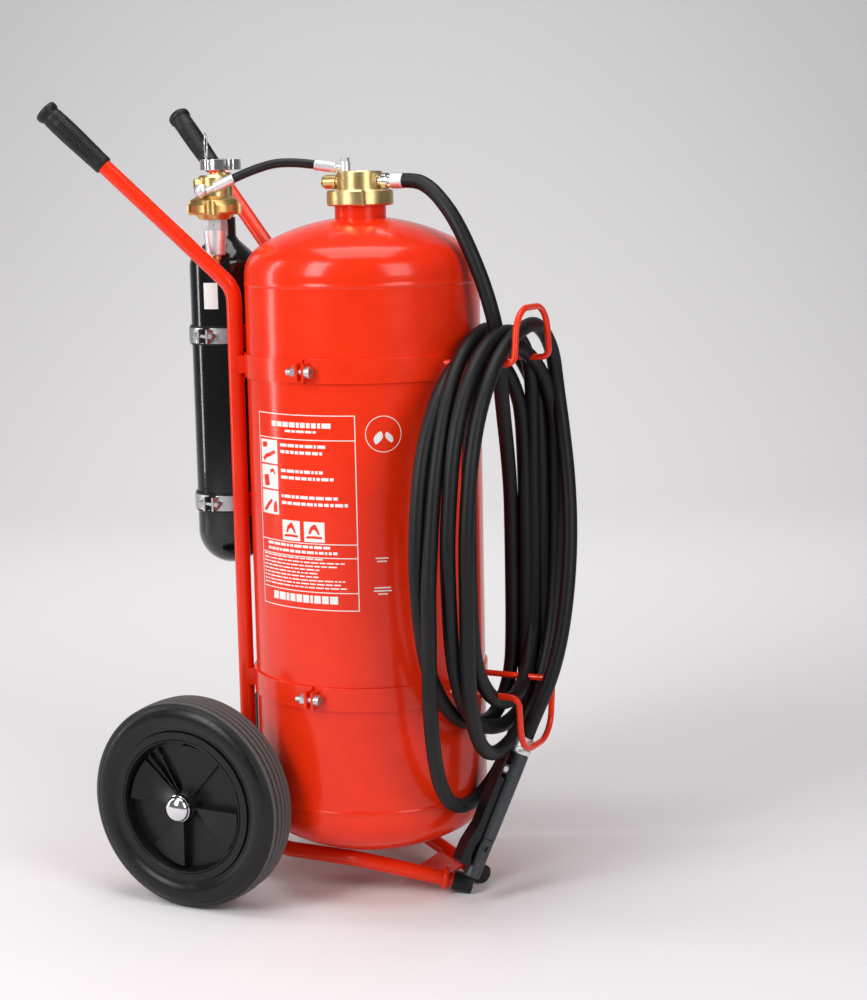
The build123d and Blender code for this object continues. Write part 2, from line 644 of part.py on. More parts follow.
def lance():
    axis = (LANCE_MOUTH - LANCE_TOP).normalized()
    length = (LANCE_MOUTH - LANCE_TOP).length
    body_end = length - SLEEVE_LENGTH
    place = dict(at=tuple(LANCE_TOP), along=tuple(axis))
    nodes["hose_ferrule"] = turned([
        (6, 0), (10.2, 0), (11.4, 1.5), (11.4, 14), (13, 16), (13, 20), (12, FERRULE_LENGTH),
        (6, FERRULE_LENGTH),
    ], **place)
    body = turned([
        (6, FERRULE_LENGTH), (11.4, FERRULE_LENGTH), (LANCE_R, FERRULE_LENGTH + 3),
        (LANCE_R, 62), (LANCE_R - 0.8, body_end - 1), (10.6, body_end), (7.95, body_end), (7.95, body_end + 20),
        (5, body_end + 20), (5, 64), (8.05, 62), (8.05, 40), (6, 38),
    ], **place)

    # The lever lifts on a rivet in two lugs, on the side of the lance between the tank and -X.
    toward_tank = Vector(-0.4437, 0.896, 0)
    toward_tank = (toward_tank - axis * toward_tank.dot(axis)).normalized()
    side = toward_tank.rotate(Axis((0, 0, 0), tuple(axis)), -LEVER_SIDE)
    hinge_axis = axis.cross(side).normalized()
    pivot = LANCE_TOP + axis * 46 + side * 17
    lug_frame = Plane(origin=tuple(LANCE_TOP + axis * 46 + side * 12.7), x_dir=tuple(axis), z_dir=tuple(side))
    for across in (-5, 5):
        body += lug_frame.location * (Pos(0, across, 0) * Box(12, 3, 13))
    clear = rod(2.05, 16, tuple(pivot - hinge_axis * 8), tuple(hinge_axis))
    bore = rod(8.05, 22, tuple(LANCE_TOP + axis * 40), tuple(axis))
    nodes["lance_body"] = body - clear - bore
    rivet = rod(2, 17, tuple(pivot - hinge_axis * 8.5), tuple(hinge_axis))
    for end in (-10, 8.5):
        rivet += rod(3.6, 1.5, tuple(pivot + hinge_axis * end), tuple(hinge_axis))
    nodes["lever_rivet"] = rivet

    outline = make_face(Polyline(
        (-12, 4.1), (10, 4.1), (12, -3), (94, -3), (104, 0.5), (116, 0.5), (127, -2.5), (130, -1),
        (131, 10), (128, 13.5), (104, 13), (76, 6.6), (-12, 6.6), close=True,
    ))
    bar = Pos(0, 0, -LEVER_HALF_WIDTH) * extrude(outline, 2 * LEVER_HALF_WIDTH)
    bar += Pos(0, 0.8, 0) * Box(9, 8.6, 6.6)
    along_lance = Plane(origin=tuple(pivot), x_dir=tuple(axis), z_dir=tuple(hinge_axis))
    eye = rod(2 + RUNNING_GAP, 20, tuple(pivot - hinge_axis * 10), tuple(hinge_axis))
    nodes["lance_lever"] = along_lance.location * bar - eye

    nodes["lance_plunger"] = rod(8, 9, tuple(LANCE_TOP + axis * 42), tuple(axis))
    sleeve_start = body_end + 0.4
    sleeve = turned([
        (8, sleeve_start), (11.2, sleeve_start), (10.8, length - 1.5), (10, length), (9, length),
        (8, length - 8),
    ], **place)
    window_frame = Plane(origin=tuple(LANCE_TOP + axis * (sleeve_start + 11)), x_dir=tuple(axis),
                         z_dir=(-0.8, -0.6, 0.04))
    window = window_frame.location * (Pos(0, 0, 8) * Box(7, 7, 16))
    nodes["nozzle_sleeve"] = sleeve - window
    vane_at = LANCE_TOP + axis * (length - 16)
    vane_frame = Plane(origin=tuple(vane_at), x_dir=tuple(hinge_axis), z_dir=tuple(axis))
    vanes = vane_frame.location * (Pos(0, 0, 6) * (Box(15.8, 1.2, 12) + Box(1.2, 15.8, 12)))
    nodes["nozzle_vanes"] = vanes
    for label, value in (("pivot", pivot), ("hinge_axis", hinge_axis), ("lance_axis", axis)):
        print(label, tuple(round(part, 5) for part in tuple(value)))


for build in (tank, ring_nut, head, bands, frame, hooks, wheels, gas_cylinder, gas_valve, gas_hose, hose, lance):
    build()

os.makedirs("parts", exist_ok=True)
for name, shape in nodes.items():
    export_step(Pos(0, ORIGIN_Y, 0) * shape, f"parts/{name}.step")
print(len(nodes), "nodes")
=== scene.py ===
"""A wheeled foam fire extinguisher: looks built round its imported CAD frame, in metres."""
import math

import bmesh
import bpy
import numpy as np
from mathutils import Matrix, Vector


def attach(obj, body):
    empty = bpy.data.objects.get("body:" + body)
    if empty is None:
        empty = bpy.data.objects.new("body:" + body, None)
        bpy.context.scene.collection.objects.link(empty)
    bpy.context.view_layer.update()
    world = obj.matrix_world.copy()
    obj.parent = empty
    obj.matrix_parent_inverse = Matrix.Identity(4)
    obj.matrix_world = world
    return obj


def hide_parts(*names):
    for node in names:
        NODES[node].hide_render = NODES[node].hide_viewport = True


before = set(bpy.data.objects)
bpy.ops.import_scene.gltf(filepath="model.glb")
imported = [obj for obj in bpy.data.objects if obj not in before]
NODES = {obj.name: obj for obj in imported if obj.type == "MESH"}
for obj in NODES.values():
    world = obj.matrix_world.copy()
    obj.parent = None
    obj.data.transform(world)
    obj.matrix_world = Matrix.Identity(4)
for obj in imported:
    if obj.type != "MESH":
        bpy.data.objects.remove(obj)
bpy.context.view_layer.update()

MM = 0.001
TANK_Y = -0.071
TAU = 2 * math.pi
WHEEL_R, WHEEL_WIDTH, WHEEL_OUT, AXLE_Y = 135.0, 58.0, 222.0, 160.0


def placed(points):
    """Points in millimetres about the tank's axis, as metres in the frame."""
    return np.asarray(points, float) * MM + np.array([0.0, TANK_Y, 0.0])


def linked(name, data):
    """A new object of this name in the scene, at the origin."""
    made = bpy.data.objects.new(name, data)
    bpy.context.scene.collection.objects.link(made)
    return made


# ---------------------------------------------------------------- camera

FOCAL = 2009.0
IMAGE_WIDTH = 867.0
SENSOR = 36.0
CAMERA_AT = (-2.2718, -1.2915, 0.9013)
CAMERA_YAW = math.radians(-63.66)
CAMERA_DOWN = math.radians(8.80)
CAMERA_ROLL = math.radians(-1.094)


def make_camera():
    """A camera whose axes are right, up and back, turned by its roll about the line of sight."""
    ahead = Vector((-math.sin(CAMERA_YAW) * math.cos(CAMERA_DOWN),
                    math.cos(CAMERA_YAW) * math.cos(CAMERA_DOWN),
                    -math.sin(CAMERA_DOWN)))
    level = ahead.cross(Vector((0, 0, 1))).normalized()
    above = level.cross(ahead)
    cos_roll, sin_roll = math.cos(CAMERA_ROLL), math.sin(CAMERA_ROLL)
    right = level * cos_roll + above * sin_roll
    up = above * cos_roll - level * sin_roll
    data = bpy.data.cameras.new("studio_camera")
    data.sensor_fit = "HORIZONTAL"
    data.sensor_width = SENSOR
    data.lens = SENSOR * FOCAL / IMAGE_WIDTH
    data.clip_start, data.clip_end = 0.05, 60.0
    camera = linked("studio_camera", data)
    columns = Matrix((right, up, -ahead)).transposed()
    camera.matrix_world = Matrix.Translation(CAMERA_AT) @ columns.to_4x4()
    bpy.context.scene.camera = camera
    bpy.context.scene.view_settings.view_transform = "Standard"
    return ahead


AHEAD = make_camera()


# ---------------------------------------------------------------- shader arithmetic

class Level:
    """One number socket of a finish; arithmetic on it adds Math nodes."""

    def __init__(self, finish, socket):
        self.finish, self.socket = finish, socket

    def math(self, operation, *others, first=None):
        values = [self, *others] if first is None else [first, self]
        return self.finish.node(
            "ShaderNodeMath", dict(operation=operation), dict(enumerate(values)))

    def __add__(self, other): return self.math("ADD", other)
    def __radd__(self, other): return self.math("ADD", other)
    def __sub__(self, other): return self.math("SUBTRACT", other)
    def __rsub__(self, other): return self.math("SUBTRACT", first=other)
    def __mul__(self, other): return self.math("MULTIPLY", other)
    def __rmul__(self, other): return self.math("MULTIPLY", other)
    def __pow__(self, other): return self.math("POWER", other)

    def clamped(self):
        return self.math("MAXIMUM", 0.0).math("MINIMUM", 1.0)


class Finish:
    """A material made of one Principled shader and the nodes that feed it."""

    def __init__(self, name, **constants):
        self.material = bpy.data.materials.new(name)
        self.material.use_nodes = True
        self.tree = self.material.node_tree
        self.shader = self.tree.nodes["Principled BSDF"]
        for socket, value in constants.items():
            self.shader.inputs[socket.replace("_", " ")].default_value = value

    def node(self, kind, settings=None, inputs=None, output=0):
        """A node of this type: its settings first, then values or links for its sockets."""
        made = self.tree.nodes.new(kind)
        for key, value in (settings or {}).items():
            if key == "stops":
                for index, (at, colour) in enumerate(value):
                    ramp = made.color_ramp.elements
                    stop = ramp[index] if index < 2 else ramp.new(at)
                    stop.position, stop.color = at, (*colour, 1.0)
            else:
                setattr(made, key, value)
        for key, value in (inputs or {}).items():
            self.feed(made.inputs[key], value)
        return Level(self, made.outputs[output])

    def feed(self, socket, value):
        if isinstance(value, Level):
            self.tree.links.new(value.socket, socket)
        else:
            socket.default_value = value

    def place(self, centre=(0, 0, 0), scale=(1, 1, 1)):
        """Object coordinates about a centre, scaled for a pattern."""
        here = self.node("ShaderNodeTexCoord", output="Object")
        moved = self.node("ShaderNodeVectorMath", dict(operation="SUBTRACT"), {0: here, 1: centre})
        return self.node(
            "ShaderNodeMapping", None, {"Vector": moved, "Scale": scale})

    def parts(self, vector):
        """The three numbers of a vector."""
        first = self.node("ShaderNodeSeparateXYZ", None, {0: vector})
        return [Level(self, socket) for socket in first.socket.node.outputs]

    def noise(self, scale, detail=3.0, roughness=0.5, place=None):
        """Cloudy noise from 0 to 1, by the object's own coordinates."""
        return self.node("ShaderNodeTexNoise", None, {
            "Vector": place or self.place(), "Scale": scale, "Detail": detail,
            "Roughness": roughness}, "Fac")

    def blend(self, amount, low, high):
        """A colour between two colours."""
        pair = [value if isinstance(value, Level) else (*value, 1.0) for value in (low, high)]
        return self.node(
            "ShaderNodeMix", dict(data_type="RGBA"), {0: amount, 6: pair[0], 7: pair[1]}, 2)

    def spread(self, value, low, high):
        """A value stretched so that low becomes 0 and high becomes 1."""
        return self.node("ShaderNodeMapRange", None, {0: value, 1: low, 2: high})

    def edges(self, radius):
        """A normal that rounds sharp edges by a small radius."""
        return self.node("ShaderNodeBevel", dict(samples=4), {"Radius": radius})

    def bump(self, height, depth, normal=None):
        """A normal from a height field, its depth in metres."""
        inputs = {"Height": height, "Distance": depth}
        if normal is not None:
            inputs["Normal"] = normal
        return self.node("ShaderNodeBump", None, inputs)

    def show(self, **links):
        """Feeds the shader's sockets by name, and gives the material."""
        for socket, value in links.items():
            self.feed(self.shader.inputs[socket.replace("_", " ")], value)
        return self.material


def enamel(name, base, dark, rough, peel=0.00012, edge=0.0008, coat=0.5):
    """Sprayed enamel: orange peel, a little dust in the lacquer and slow changes of depth."""
    paint = Finish(name, Coat_Weight=coat, Coat_Roughness=0.04, IOR=1.36)
    cloud = paint.noise(3.0, 2.0)
    grime = paint.noise(38.0, 5.0, 0.65)
    orange_peel = paint.noise(210.0, 2.0)
    colour = paint.blend(paint.spread(cloud * 0.7 + grime * 0.3, 0.3, 0.72), dark, base)
    normal = paint.bump(orange_peel, peel, paint.edges(edge))
    return paint.show(Base_Color=colour, Roughness=rough + 0.10 * grime, Normal=normal)


def metal(name, base, dark, rough, grain=(1, 1, 1), scale=60.0, depth=0.00004, edge=0.0006,
          worn=0.12):
    """Machined or plated metal: fine tool marks, tarnish and softened edges."""
    part = Finish(name, Metallic=1.0)
    marks = part.noise(scale, 4.0, 0.6, part.place(scale=grain))
    tarnish = part.noise(26.0, 5.0, 0.6)
    colour = part.blend(part.spread(tarnish * 0.6 + marks * 0.4, 0.32, 0.66), dark, base)
    normal = part.bump(marks, depth, part.edges(edge))
    sheen = rough + worn * tarnish + 0.08 * marks
    return part.show(Base_Color=colour, Roughness=sheen, Normal=normal)


def polymer(name, base, light, rough, scale=420.0, depth=0.00006, edge=0.0006):
    """Rubber or moulded plastic: a fine skin texture with dust caught in it."""
    part = Finish(name, IOR=1.38)
    skin = part.noise(scale, 3.0, 0.6)
    film = part.noise(24.0, 6.0, 0.7)
    colour = part.blend((part.spread(film, 0.48, 0.75) * 0.25).clamped(), base, light)
    normal = part.bump(skin, depth, part.edges(edge))
    return part.show(Base_Color=colour, Roughness=rough + 0.16 * film, Normal=normal)


def tyre_rubber(name):
    """Black scuffed sidewalls and a grey tread with dust on its ribs, its grooves painted near
    black as shade, by distance from the axle's line.
    """
    part = Finish(name, IOR=1.4)
    _, back, up = part.parts(part.place(tuple(placed((0, AXLE_Y, WHEEL_R)))))
    radius = (back * back + up * up) ** 0.5
    tread = part.spread(radius, 0.1262, 0.1330).clamped()
    groove = part.spread(radius, 0.1318, 0.1335).clamped()
    scuff = part.spread(part.noise(70.0, 6.0, 0.75), 0.52, 0.70).clamped()
    fine = part.noise(300.0, 3.0)
    # Rib tops take a dust grey; the grooves below them stay near black, a painted shade in the
    # recesses.
    rib_dust_and_groove_shade = groove * (0.65 + 0.35 * fine)
    grey = part.blend(rib_dust_and_groove_shade, (0.008, 0.008, 0.008), (0.105, 0.102, 0.098))
    wall = part.blend(scuff * 0.3, (0.004, 0.004, 0.004), (0.016, 0.016, 0.016))
    colour = part.blend(tread, wall, grey)
    rough = 0.30 + 0.32 * tread + 0.14 * scuff
    return part.show(
        Base_Color=colour, Roughness=rough.clamped(), Normal=part.bump(fine, 0.00012))


RED = enamel("red_enamel", (0.90, 0.036, 0.005), (0.72, 0.020, 0.003), 0.16, coat=0.12)
BLACK_ENAMEL = enamel("black_enamel", (0.006, 0.006, 0.007), (0.003, 0.003, 0.003), 0.10,
                      coat=0.5)
WHITE_PRINT = enamel("white_print", (0.86, 0.85, 0.82), (0.78, 0.77, 0.74), 0.30, 0.00002, 0.0,
                     0.2)
HOSE_RUBBER = polymer("hose_rubber", (0.003, 0.003, 0.004), (0.012, 0.012, 0.014), 0.40, 700.0,
                      0.00016, 0.0)
GAS_HOSE_RUBBER = polymer("gas_hose_rubber", (0.010, 0.010, 0.011), (0.03, 0.03, 0.03), 0.32,
                          500.0, 0.00006, 0.0)
RUBBER = polymer("black_rubber_trim", (0.006, 0.006, 0.007), (0.03, 0.03, 0.03), 0.32)
RIM_PLASTIC = polymer("rim_plastic", (0.005, 0.005, 0.005), (0.022, 0.022, 0.020), 0.26, 260.0,
                      0.00006)
GRIP_PLASTIC = polymer("grip_plastic", (0.007, 0.007, 0.008), (0.028, 0.028, 0.029), 0.36, 520.0,
                       0.00010)
LEVER_PLASTIC = polymer("lever_black", (0.004, 0.004, 0.005), (0.02, 0.02, 0.02), 0.34)
NYLON = polymer("pale_nylon_bush", (0.55, 0.52, 0.45), (0.4, 0.38, 0.33), 0.45, 300.0, 0.00005)
TYRE = tyre_rubber("tyre_rubber")
BRASS = metal("machined_brass", (0.92, 0.72, 0.36), (0.70, 0.50, 0.19), 0.22, (1, 1, 9), 70.0)
CAST_BRASS = metal("cast_brass", (0.86, 0.60, 0.24), (0.52, 0.32, 0.10), 0.26, (1, 1, 1), 120.0,
                   0.00012, 0.0012)
CHROME = metal("bright_plate", (0.86, 0.86, 0.88), (0.66, 0.66, 0.69), 0.07, worn=0.08)
ZINC = metal("zinc_plate", (0.72, 0.73, 0.75), (0.48, 0.48, 0.50), 0.22, (1, 1, 4), 90.0)
STEEL = metal("plain_steel", (0.50, 0.49, 0.48), (0.30, 0.29, 0.28), 0.34)
SATIN_ALLOY = metal("satin_alloy", (0.93, 0.93, 0.94), (0.74, 0.74, 0.76), 0.34, (1, 1, 1), 90.0)
ANODISED = metal("dark_anodised_tube", (0.105, 0.110, 0.118), (0.060, 0.063, 0.068), 0.34,
                 (1, 1, 12), 60.0)


# ---------------------------------------------------------------- mesh helpers

SMOOTH_BELOW = math.radians(38)
MERGE_WITHIN = 2e-6


def finished(piece, body, material, stands_for=()):
    """Gives a piece its material, body and the CAD nodes that it stands for."""
    piece.data.materials.append(material)
    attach(piece, body)
    if stands_for:
        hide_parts(*stands_for)
    return piece


def outward_mesh(name, vertices, faces, merge=0.0):
    """A mesh from points and faces: points nearer than merge become one, faces turn outwards."""
    mesh = bpy.data.meshes.new(name)
    mesh.from_pydata(np.concatenate(vertices).tolist(), [], np.concatenate(faces).tolist())
    work = bmesh.new()
    work.from_mesh(mesh)
    if merge:
        bmesh.ops.remove_doubles(work, verts=work.verts, dist=merge)
    bmesh.ops.recalc_face_normals(work, faces=work.faces)
    work.to_mesh(mesh)
    work.free()
    return mesh


def shell(name, grids, body, material, stands_for=(), sharp=SMOOTH_BELOW):
    """One piece from grids of points, shape (rows, columns, 3), each closed round its columns.

    A face joins each point to its neighbours along the row and the column, and coincident
    points at poles and seams are merged."""
    vertices, faces, offset = [], [], 0
    for grid in grids:
        rows, columns = grid.shape[:2]
        index = offset + np.arange(rows * columns).reshape(rows, columns)
        beside = np.roll(index, -1, axis=1)
        faces.append(np.stack([index[:-1], beside[:-1], beside[1:], index[1:]], -1).reshape(-1, 4))
        vertices.append(grid.reshape(-1, 3))
        offset += rows * columns
    mesh = outward_mesh(name, vertices, faces, MERGE_WITHIN)
    mesh.shade_smooth()
    mesh.set_sharp_from_angle(angle=sharp)
    return finished(linked(name, mesh), body, material, stands_for)


def axes_for(along):
    """Two unit vectors square to a direction, and the direction."""
    ahead = np.asarray(along, float) / np.linalg.norm(along)
    helper = np.array([0, 0, 1.0]) if abs(ahead[2]) < 0.9 else np.array([1.0, 0, 0])
    across = np.cross(helper, ahead)
    across /= np.linalg.norm(across)
    return across, np.cross(ahead, across), ahead


def lathe(profile, at, along=(0, 0, 1), columns=96, radius_at=None):
    """A grid: the profile of (radius, height) in millimetres, turned about an axis.

    A point is the centre plus height along the axis plus radius times the cosine and sine of the
    angle on the two square axes; radius_at(angle, radius, height) may reshape the radius."""
    profile = np.asarray(profile, float)
    first, second, ahead = axes_for(along)
    angle = np.linspace(0, TAU, columns, endpoint=False)[None, :]
    radius = np.repeat(profile[:, :1], columns, axis=1)
    height = np.repeat(profile[:, 1:2], columns, axis=1)
    if radius_at is not None:
        radius = radius_at(angle, radius, height)
    ring = (first * (radius * np.cos(angle))[..., None]
            + second * (radius * np.sin(angle))[..., None])
    return placed(at) + (ring + ahead * height[..., None]) * MM


def smooth_step(value, low, high):
    """0 below low, 1 above high, and a smooth rise between."""
    share = np.clip((value - low) / (high - low), 0, 1)
    return share * share * (3 - 2 * share)


# ---------------------------------------------------------------- hoses

HOSE_R = 9.5
GAS_HOSE_R = 5.8
LANCE_TOP = np.array([6.0, -218.0, 208.0])
LANCE_MOUTH = np.array([-59.0, -168.0, 37.0])
LANCE_AXIS = (LANCE_MOUTH - LANCE_TOP) / np.linalg.norm(LANCE_MOUTH - LANCE_TOP)

HOSE_LEAD = [
    (0, -63, 912.5), (0, -80, 912.5), (-3, -98, 905), (-8, -117, 890), (-14, -140, 864),
    (-17, -163, 822), (-14, -182, 772), (-5, -192, 718),
]
HOSE_TAIL = [
    (116, -219, 650), (112, -229, 590), (105, -239, 525), (88, -248, 455), (66, -252, 385),
    (47, -249, 322), (28, -241, 274), tuple(LANCE_TOP - LANCE_AXIS * 26), tuple(LANCE_TOP),
]
# Each turn: right (x, y), right shoulder and hip heights, bottom (x, y, z), left (x, y),
# left hip and shoulder heights, top (x, y, z).
TURNS = [
    ((92, -163), 480, 310, (10, -160, 219), (-182, -161), 420, 500, (-6, -164, 708)),
    ((97, -181), 600, 300, (-44, -154, 118), (-187, -179), 400, 438, (4, -168, 732)),
    ((113, -199), 615, 320, (12, -178, 213), (-168, -196), 440, 500, (-8, -201, 730)),
    ((104, -190), 610, 360, (2, -200, 253), (-112, -198), 370, 560, (4, -203, 709)),
    ((121, -215), 600, 420, (-35, -196, 190), (-157, -215), 420, 500, (28, -219, 736)),
]
QUARTER = np.radians([30.0, 60.0, 90.0])


def quarter(start, end, rise_first):
    """Three points of a quarter ellipse between two points, its depth eased towards the end.

    The height follows the sine and the width one less the cosine if the rise comes first, and
    the other way round if not; the depth follows the fourth power of the sine."""
    going, coming = np.sin(QUARTER), 1 - np.cos(QUARTER)
    share_x, share_z = (coming, going) if rise_first else (going, coming)
    share_y = np.sin(QUARTER) ** 4
    shares = np.stack([share_x, share_y, share_z], -1)
    return start + (end - start) * shares


def coil_points():
    """The coil's turns: down the right, round the bottom, up the left and over the top.

    The hose first sways across to the right, by half a cosine wave between its ends. Each stop
    of a turn then says how the hose leaves the stop before it."""
    here = np.array(HOSE_LEAD[-1], float)
    first_end = np.array([*TURNS[0][0], TURNS[0][1]], float)
    share = np.linspace(0.2, 0.8, 4)[:, None]
    sway = np.where([True, True, False], (1 - np.cos(math.pi * share)) / 2, share)
    points = list(here + (first_end - here) * sway)
    for number, turn in enumerate(TURNS):
        right, right_shoulder, right_hip, bottom, left, left_hip, left_shoulder, top = turn
        stops = (
            ((*right, right_shoulder), "sideways" if number else "straight"),
            ((*right, right_hip), "straight"), (bottom, "upright"),
            ((*left, left_hip), "sideways"), ((*left, left_shoulder), "straight"),
            (top, "upright"))
        for end, leaves in stops:
            end = np.array(end, float)
            points += ([end] if leaves == "straight"
                       else list(quarter(here, end, leaves == "upright")))
            here = end
    points += list(quarter(here, np.array(HOSE_TAIL[0], float), False))[:-1]
    return [tuple(point) for point in points]


def nurbs_hose(name, points, radius):
    """An open NURBS spline of order 3 through its control points, with a round section."""
    data = bpy.data.curves.new(name, "CURVE")
    data.dimensions = "3D"
    spline = data.splines.new("NURBS")
    spline.points.add(len(points) - 1)
    spots = np.c_[placed(points), np.ones(len(points))]
    spline.points.foreach_set("co", spots.ravel())
    spline.order_u = 3
    spline.use_endpoint_u = True
    data.resolution_u = 8
    data.bevel_depth = radius * MM
    data.bevel_resolution = 5
    data.use_fill_caps = True
    return linked(name, data)


discharge_hose = nurbs_hose("discharge_hose", HOSE_LEAD + coil_points() + HOSE_TAIL, HOSE_R)
finished(discharge_hose, "chassis", HOSE_RUBBER,
         ("hose_lead", "hose_coil", "hose_tail"))

GAS_START = np.array([-12.0, 14.0])
GAS_END = np.array([-88.0, 182.0])
GAS_LEVEL = (GAS_END - GAS_START) / np.linalg.norm(GAS_END - GAS_START)
GAS_ROUTE = [(39, 934.5), (72, 939.5), (110, 933), (142, 919)]
gas_points = [(*(GAS_START + GAS_LEVEL * run), height) for run, height in GAS_ROUTE]
gas_hose = nurbs_hose("gas_hose_line", gas_points, GAS_HOSE_R)
finished(gas_hose, "chassis", GAS_HOSE_RUBBER, ("gas_hose",))


# ---------------------------------------------------------------- tank

CROWN_R, KNUCKLE_R, TANK_R = 260.0, 44.0, 150.0
TANK_BOTTOM, TANK_TOP = 46.0, 869.0
SEAMS = (128.0, 787.0)
BEAD_RISE, BEAD_HALF_WIDTH = 0.9, 2.0


def dished_end():
    """Radius and depth of a dished end: a crown arc from the pole, then a knuckle arc."""
    centre = TANK_R - KNUCKLE_R
    drop = math.sqrt((CROWN_R - KNUCKLE_R) ** 2 - centre ** 2)
    meet = math.asin(centre / (CROWN_R - KNUCKLE_R))
    crown = np.linspace(0, meet, 26)
    knuckle = np.linspace(meet, math.pi / 2, 20)[1:]
    radius = np.r_[CROWN_R * np.sin(crown), centre + KNUCKLE_R * np.sin(knuckle)]
    depth = np.r_[CROWN_R * (1 - np.cos(crown)),
                  CROWN_R - drop - KNUCKLE_R * np.cos(knuckle)]
    return np.c_[radius, depth]


def tank_profile():
    """The two dished ends joined by the wall, with a rounded weld bead at each seam."""
    end = dished_end()
    lower = end + [0, TANK_BOTTOM]
    upper = end[::-1] * [1, -1] + [0, TANK_TOP]
    heights = np.unique(np.r_[np.linspace(lower[-1, 1], upper[0, 1], 60),
                              *[seam + np.linspace(-7, 7, 29) for seam in SEAMS]])
    heights = heights[(heights > lower[-1, 1]) & (heights < upper[0, 1])]
    bead = sum(BEAD_RISE * np.exp(-((heights - seam) / BEAD_HALF_WIDTH) ** 2) for seam in SEAMS)
    wall = np.c_[TANK_R + bead, heights]
    return np.r_[lower, wall, upper]


shell("tank", [lathe(tank_profile(), (0, 0, 0), columns=192)], "chassis", RED,
      ("tank_shell",))


# ---------------------------------------------------------------- gas cylinder

GAS_Y, GAS_R, GAS_BOTTOM = 206.0, 45.5, 410.0
GAS_NECK_R, GAS_NECK_TOP = 17.0, 870.0


def cylinder_profile():
    """A round bottom, a long wall and a shoulder that flows into the neck."""
    bowl = np.linspace(0, math.pi / 2, 18)
    bottom = np.c_[GAS_R * np.sin(bowl), GAS_BOTTOM + GAS_R * (1 - np.cos(bowl))]
    share = np.linspace(0, 1, 24)
    width = GAS_NECK_R + (GAS_R - GAS_NECK_R) * (1 - smooth_step(share, 0.0, 1.0))
    shoulder = np.c_[width, 806 + 42 * share ** 0.8]
    neck = [(GAS_NECK_R, GAS_NECK_TOP - 0.5), (GAS_NECK_R - 1.5, GAS_NECK_TOP), (0, GAS_NECK_TOP)]
    return np.r_[bottom, [(GAS_R, 600), (GAS_R, 780)], shoulder, neck]


shell("gas_cylinder", [lathe(cylinder_profile(), (0, GAS_Y, 0))], "chassis", BLACK_ENAMEL,
      ("cylinder_shell",))


# ---------------------------------------------------------------- printed panels

PRINT_PROUD, PRINT_SUNK, MARK_PROUD, MARK_SUNK, BADGE_PROUD = 0.25, -0.3, 0.37, 0.1, 0.22


def on_cylinder(reach, angle, height, centre_y=0.0):
    """Points at a reach from an upright axis, by angle and height."""
    across, back = reach * np.cos(angle), centre_y + reach * np.sin(angle)
    return placed(np.stack([across, back, height], -1))


def patch(corners, radius=TANK_R, centre_y=0.0):
    """A thin slab that follows a cylinder, from four corners (angle in degrees, height).

    The corners run round the slab; each point between them is bilinear in angle and height."""
    (a0, z0), (a1, z1), (a2, z2), (a3, z3) = corners
    u = np.linspace(0, 1, 2 + int(max(abs(a1 - a0), abs(a2 - a3)) / 1.2))[None, :]
    v = np.array([0.0, 1.0])[:, None]
    angle = np.radians((a0 * (1 - u) + a1 * u) * (1 - v) + (a3 * (1 - u) + a2 * u) * v)
    height = (z0 * (1 - u) + z1 * u) * (1 - v) + (z3 * (1 - u) + z2 * u) * v
    return [on_cylinder(radius + proud, angle, height, centre_y)
            for proud in (PRINT_PROUD, PRINT_SUNK)]


def slab_mesh(name, slabs, body, material):
    """One mesh of closed thin slabs, each an outer and an inner grid joined round its rim."""
    vertices, faces, offset = [], [], 0
    for outer, inner in slabs:
        rows, columns = outer.shape[:2]
        front = offset + np.arange(rows * columns).reshape(rows, columns)
        back = front + rows * columns
        for sheet, flip in ((front, False), (back, True)):
            quads = np.stack([sheet[:-1, :-1], sheet[:-1, 1:], sheet[1:, 1:], sheet[1:, :-1]], -1)
            faces.append((quads[..., ::-1] if flip else quads).reshape(-1, 4))
        rim_front = np.r_[front[0], front[1:, -1], front[-1, -2::-1], front[-2:0:-1, 0]]
        rim_back = np.r_[back[0], back[1:, -1], back[-1, -2::-1], back[-2:0:-1, 0]]
        faces.append(np.stack(
            [rim_front, rim_back, np.roll(rim_back, -1), np.roll(rim_front, -1)], -1))
        vertices += [outer.reshape(-1, 3), inner.reshape(-1, 3)]
        offset += 2 * rows * columns
    return finished(linked(name, outward_mesh(name, vertices, faces)), body, material)


PANEL_LEFT, PANEL_RIGHT = 146.0, 203.4
PANEL_TOP, PANEL_BOTTOM = 631.0, 388.0


def on_panel(across, down):
    """An angle and a height on the tank from shares across and down the printed panel."""
    return (PANEL_LEFT + (PANEL_RIGHT - PANEL_LEFT) * across,
            PANEL_TOP + (PANEL_BOTTOM - PANEL_TOP) * down)


def printed(left, top, right, bottom):
    """A printed rectangle, by shares of the panel."""
    return patch([on_panel(left, top), on_panel(right, top),
                  on_panel(right, bottom), on_panel(left, bottom)])


WORD_GAP = 0.012


def bars(left, right, top, count, pitch, thick, ragged, rng):
    """Rows of short bars in place of lines of small print, each row's end drawn at random."""
    rows = []
    for line in range(count):
        at = left
        end = right - ragged * (right - left) * rng.random()
        while at < end - 0.02:
            word = min(0.02 + 0.06 * rng.random(), end - at)
            rows.append(printed(at, top + line * pitch, at + word, top + line * pitch + thick))
            at += word + WORD_GAP
    return rows


def mark(left, top, right, bottom, outline):
    """A filled shape over a printed square, from shares of the square, as one slab."""
    points = np.array(outline, float)
    angle, height = on_panel(left + (right - left) * points[:, 0],
                             top + (bottom - top) * points[:, 1])
    half = len(points) // 2
    order = np.stack([np.arange(half), np.arange(2 * half - 1, half - 1, -1)])
    return [on_cylinder(TANK_R + proud, np.radians(angle), height)[order]
            for proud in (MARK_PROUD, MARK_SUNK)]


